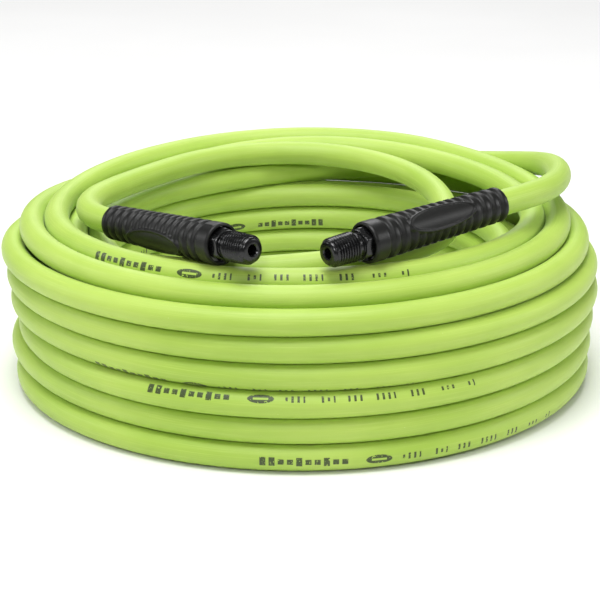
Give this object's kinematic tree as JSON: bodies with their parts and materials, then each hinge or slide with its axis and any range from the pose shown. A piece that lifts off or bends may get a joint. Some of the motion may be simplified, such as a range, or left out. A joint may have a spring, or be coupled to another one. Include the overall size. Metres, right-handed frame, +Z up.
{
  "type": "coiled air hose",
  "caption": "Rubber air hose wound in a flat round coil, with male pipe-thread ends, crimped ferrules and ribbed bend restrictors.",
  "frame": {"origin": "on the floor under the middle of the coil", "axes": "+Z up, +X to the right and -Y towards a person who faces the two threaded ends"},
  "size_m": [0.289, 0.289, 0.1051],
  "materials": {
    "hose": "matte, slightly waxy lime green rubber with faint print marks",
    "liner": "smooth black rubber",
    "braid": "woven polyester yarn",
    "restrictor": "moulded satin black rubber",
    "fitting": "glossy black plated steel",
    "ferrule": "plated steel with crimp marks"
  },
  "bodies": {
    "hose": {"hose_coil": "hose", "left_free_end": "hose", "left_threaded_stem": "fitting", "left_ferrule": "ferrule", "left_hose_liner": "liner", "left_hose_braid": "braid", "left_hose_cover": "hose", "right_free_end": "hose", "right_threaded_stem": "fitting", "right_ferrule": "ferrule", "right_hose_liner": "liner", "right_hose_braid": "braid", "right_hose_cover": "hose"},
    "left_restrictor": {"left_bend_restrictor": "restrictor"},
    "right_restrictor": {"right_bend_restrictor": "restrictor"}
  },
  "joints": [
    {"name": "left_restrictor_slide", "type": "slide", "parent": "hose", "child": "left_restrictor", "axis": [-0.6519, 0.7526, -0.0924], "range_m": [0, 0.005]},
    {"name": "right_restrictor_slide", "type": "slide", "parent": "hose", "child": "right_restrictor", "axis": [0.7796, 0.6246, 0.0454], "range_m": [0, 0.005]}
  ]
}
